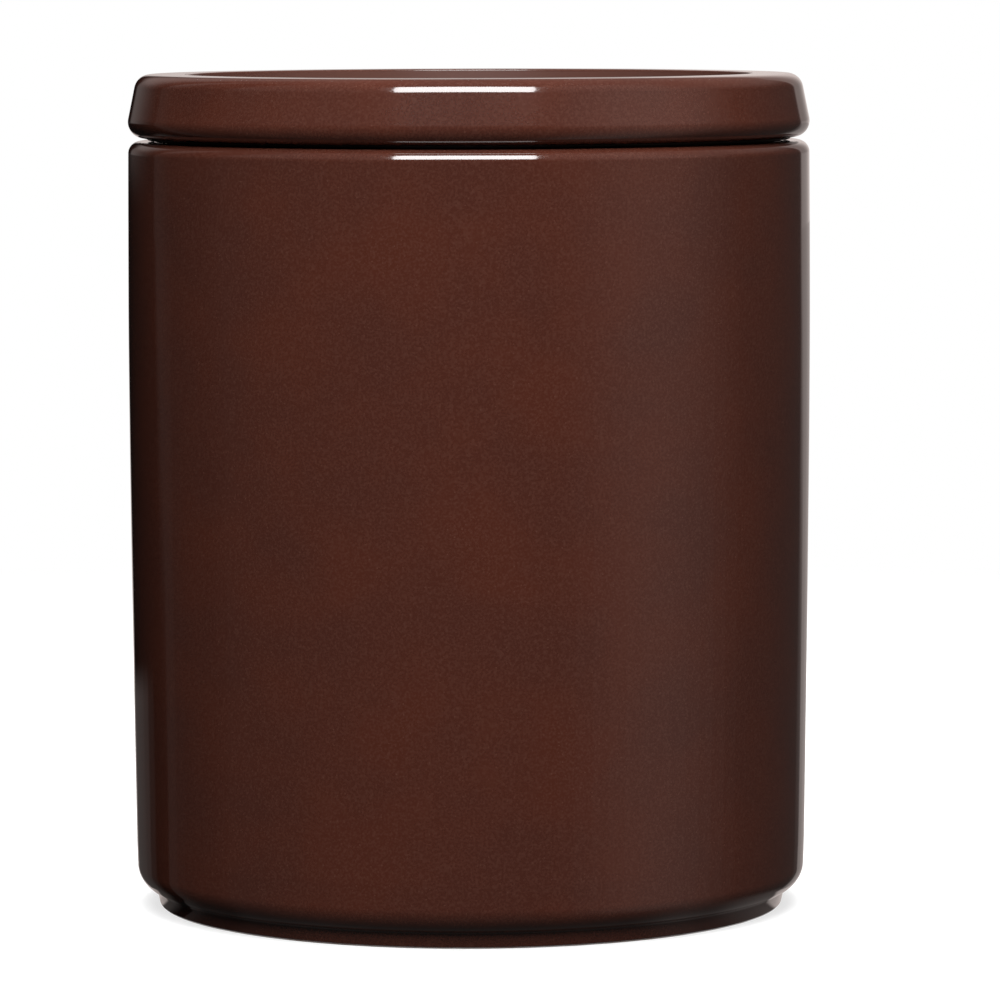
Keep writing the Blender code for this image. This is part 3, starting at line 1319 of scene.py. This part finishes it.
@dataclass(frozen=True)
class Studio:
    """Lamps, surround, floor and backdrop: one tall soft lamp in front and above, and the rest kept low."""

    # A lamp's numbers are its azimuth, distance, centre height, tilt, width, height and power.
    lamps: tuple[SoftLamp, ...] = (
        SoftLamp("key_lamp", -1.5, 0.745, 0.895, 22.0, 0.78, 0.74, 20.9),
        SoftLamp("overhead_fill", 35.0, 0.25, 1.25, 78.0, 0.8, 0.8, 12.0, Rays.LIGHT),
        SoftLamp("side_fill", 82.0, 1.15, 0.35, 15.0, 0.6, 0.6, 1.4, Rays.LIGHT),
        SoftLamp("rear_fill_left", -165.0, 0.75, 0.75, 42.0, 0.6, 0.6, 9.0, Rays.LIGHT),
        SoftLamp("rear_fill_right", 165.0, 0.75, 0.75, 42.0, 0.6, 0.6, 9.0, Rays.LIGHT),
        SoftLamp("underside_fill", 0.0, 0.0, -0.8, -90.0, 0.3, 0.3, 4.0, Rays.LIGHT),
    )
    world_light: float = 0.02
    # A patch's numbers are its azimuth, half width, low, high, level, side softness and end softness.
    surround: Surround = Surround(
        cards=(
            # Ceiling and upper walls, all the way round.
            Patch(0, 180, 66, 140, 0.22, 2, 16),
            Patch(0, 180, 22, 80, 0.14, 2, 16),
            # Large soft card on the right, brighter above.
            Patch(64, 22, -90, 60, 0.165, 40, 20),
            Patch(64, 22, 14, 60, 0.3, 40, 12),
            # Dark flag on the left.
            Patch(-108, 14, -90, 60, 0.017, 12, 20),
            # Dimmer screen behind on the right, beside the backdrop.
            Patch(170, 20, -90, 28, 0.33, 3, 4),
            Patch(170, 19, 2, 28, 0.25, 5, 2),
            # White backdrop behind the object, with two dimmer stripes.
            Patch(186, 16, -90, 28, 1.0, 28, 4),
            Patch(179, 9, -2, 12, 0.66, 6, 4),
            Patch(180, 2.6, -2, 12, 0.38, 1.6, 4),
            # Black flag behind on the left, with soft light on it and a dark edge.
            Patch(-152, 21, -90, 60, 0.004, 2, 5),
            Patch(-155.5, 13, 1.3, 60, 0.11, 28, 2),
            Patch(-167.5, 6, 1.3, 60, 0.004, 4, 2),
            Patch(-158, 12, 14, 60, 0.19, 18, 8),
        ),
    )
    flag: FloorFlag = FloorFlag(
        cards=(
            # Stripes below the surround's cards, flags and backdrop.
            Patch(64, 22, -1, 9, 0.165, 40, 0.1),
            Patch(-108, 14, -1, 9, 0.017, 12, 0.1),
            Patch(171, 20, -1, 9, 0.28, 3, 0.1),
            Patch(187, 16, -1, 9, 0.6, 28, 0.1),
            Patch(-152, 21, -1, 9, 0.004, 2, 0.1),
            Patch(-160, 14, -1, 0.33, 0.058, 16, 0.08),
            # Light on the floor close to the foot.
            Patch(5, 75, -1, 0.006, 0.05, 40, 0.008),
            Patch(130, 25, -1, 0.006, 0.11, 40, 0.008),
            Patch(-172, 10, -1, 0.002, 0.4, 6, 0.002),
            Patch(168, 16, -1, 0.002, 0.5, 8, 0.002),
        ),
    )
    floor: Floor = Floor()

    def build(self) -> None:
        """Lights the world, adds the lamps, and builds surround, flag and floor."""
        self.dress_world()
        for lamp in self.lamps:
            lamp.build()
        self.surround.build()
        self.flag.build()
        self.floor.build()

    def dress_world(self) -> None:
        """Makes the world white where it is seen or mirrored, and a dim plain grey as light."""
        world = bpy.data.worlds.new("backdrop")
        world.use_nodes = True
        bpy.context.scene.world = world
        graph = Graph(world.node_tree)
        by_ray = {"Value": seen_share(graph), "To Min": self.world_light, "To Max": 1.0}
        level = graph.add("ShaderNodeMapRange", by_ray)
        graph.add("ShaderNodeOutputWorld", graph.add("ShaderNodeBackground", grey(1.0), level))


@dataclass(frozen=True)
class Camera:
    """A long lens in front of the jar, a little above its lid, with the photograph's sideways shift."""

    distance: float = 1.0444
    height: float = 0.16297
    pitch: float = 5.023
    roll: float = -0.15
    focal_pixels: float = 5931.6
    frame_pixels: float = 1000.0
    axis_pixel: float = 469.7
    sensor: float = 36.0
    nearest: float = 0.05
    farthest: float = 20.0

    def build(self) -> None:
        """Adds the camera and makes it the scene's."""
        data = bpy.data.cameras.new("camera")
        data.sensor_width = self.sensor
        data.lens = self.focal_pixels / self.frame_pixels * self.sensor
        data.shift_x = 0.5 - self.axis_pixel / self.frame_pixels
        data.clip_start = self.nearest
        data.clip_end = self.farthest
        camera = add_object("camera", data)
        pitched = Matrix.Rotation(math.radians(90 - self.pitch), 4, "X")
        rolled = Matrix.Rotation(math.radians(self.roll), 4, "Z")
        camera.matrix_world = Matrix.Translation((0.0, -self.distance, self.height)) @ (pitched @ rolled)
        bpy.context.scene.camera = camera


def main() -> None:
    """Loads the frame, builds the jar, lid and seal on it, then the studio and the camera."""
    logging.basicConfig(level=logging.INFO, format="%(name)s: %(message)s")
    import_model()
    _, jar_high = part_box("jar_body")
    lid_low, lid_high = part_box("lid")
    seal_low, seal_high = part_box("sealing_ring")
    lid_gap = 0.6 * MM
    rebate_margin = 0.8 * MM
    flange_margin = 0.15 * MM
    jar = Jar(radius=jar_high.x, height=jar_high.z)
    mouth = min(jar.inner_radius(jar_high.z), jar.inner_radius(lid_low.z))
    rebate_radius = jar.outer_radius(jar_high.z) - jar.shoulder_rounding - rebate_margin
    lid = Lid(
        radius=lid_high.x, base=jar_high.z + lid_gap, top=lid_high.z, spigot_end=lid_low.z, mouth=mouth,
        rebate_radius=rebate_radius,
    )
    seal = Seal(
        channel=lid.channel, mouth=mouth, flange_reach=rebate_radius - Seal.clearance - flange_margin,
        flange_top=seal_high.z, flange_base=jar_high.z + Seal.clearance, sleeve_base=seal_low.z,
    )
    glaze_tree = turned_glaze_tree()
    pieces = (
        (jar.build(glaze_tree), "jar", "jar_body", "glaze"),
        (lid.build(glaze_tree), "lid", "lid", "glaze"),
        (seal.build(finned_seal_tree()), "lid", "sealing_ring", "seal"),
    )
    for piece, body, node, slot in pieces:
        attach(piece, body)
        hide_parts(node)
        LOG.info("%s rides on %s and stands for %s", piece.name, body, node)
    Studio().build()
    Camera().build()
    bpy.context.scene.view_settings.view_transform = "Standard"


if __name__ == "__main__":
    main()
